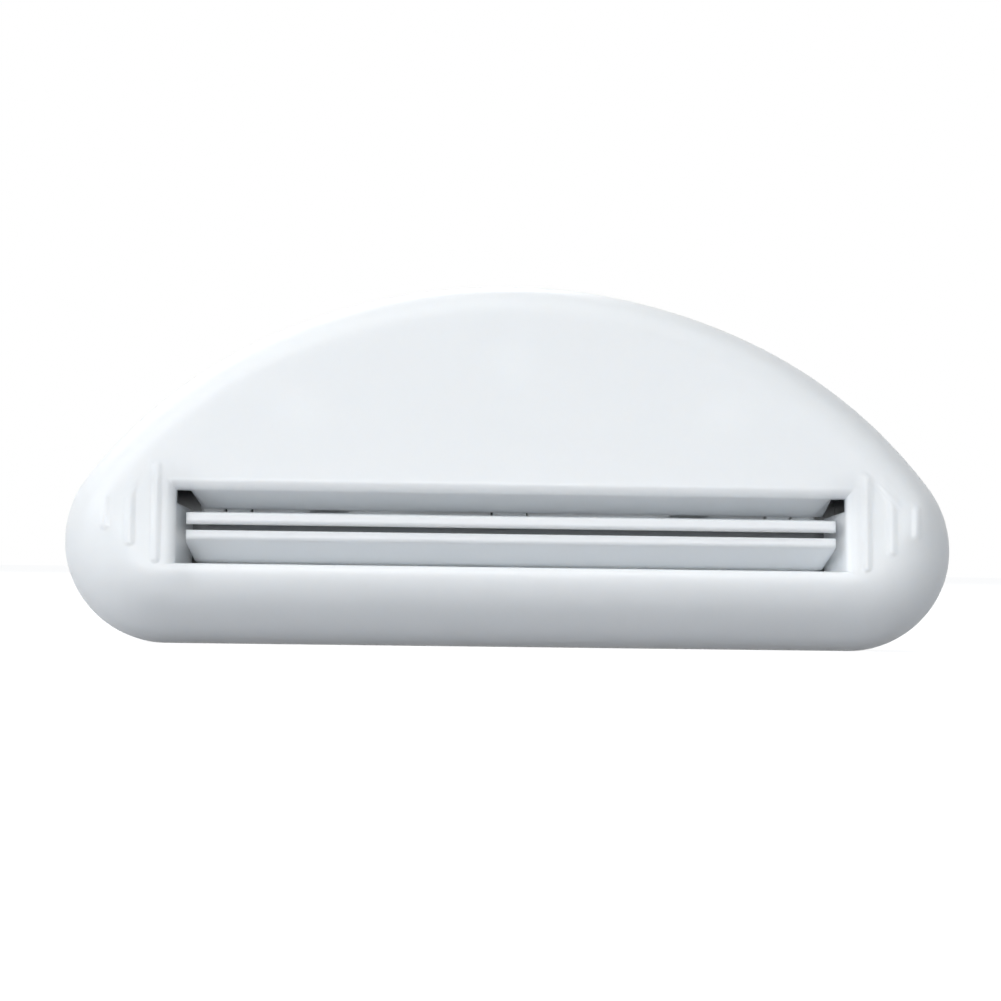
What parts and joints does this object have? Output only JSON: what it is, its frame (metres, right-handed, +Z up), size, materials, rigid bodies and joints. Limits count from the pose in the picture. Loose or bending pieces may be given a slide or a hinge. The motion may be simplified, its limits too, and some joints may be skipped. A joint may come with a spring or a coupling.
{
  "type": "toothpaste dispenser",
  "caption": "Half-moon casing with a long front window and two sprung jaws that squeeze a toothpaste tube's tail as the casing is pushed along it.",
  "frame": {"origin": "middle of the flat foot, on the surface that the casing stands on", "axes": "+X along the window, to the right seen from the front; the window faces -Y; +Z up to the crown"},
  "size_m": [0.093, 0.0182, 0.0379],
  "materials": {
    "casing": "glossy moulded white plastic with a cool cast",
    "jaw": "glossy moulded white plastic with a cool cast",
    "rod": "drawn steel rod",
    "spring": "spring wire"
  },
  "bodies": {
    "casing": {"front_shell": "casing", "rear_shell": "casing", "upper_hinge_rod": "rod", "lower_hinge_rod": "rod", "upper_left_spring": "spring", "upper_right_spring": "spring", "lower_left_spring": "spring", "lower_right_spring": "spring"},
    "upper_jaw": {"upper_jaw": "jaw"},
    "lower_jaw": {"lower_jaw": "jaw"}
  },
  "joints": [
    {"name": "upper_jaw_hinge", "type": "hinge", "parent": "casing", "child": "upper_jaw", "pos_m": [0, 0.0003, 0.01496], "axis": [-1, 0, 0], "range_deg": [0, 8], "stiffness_Nm_per_rad": 0.02, "springref_deg": -14.32, "deforming": ["upper_left_spring", "upper_right_spring"]},
    {"name": "lower_jaw_hinge", "type": "hinge", "parent": "casing", "child": "lower_jaw", "pos_m": [0, -0.00062, 0.00742], "axis": [1, 0, 0], "range_deg": [0, 8], "stiffness_Nm_per_rad": 0.02, "springref_deg": -14.32, "deforming": ["lower_left_spring", "lower_right_spring"]}
  ]
}
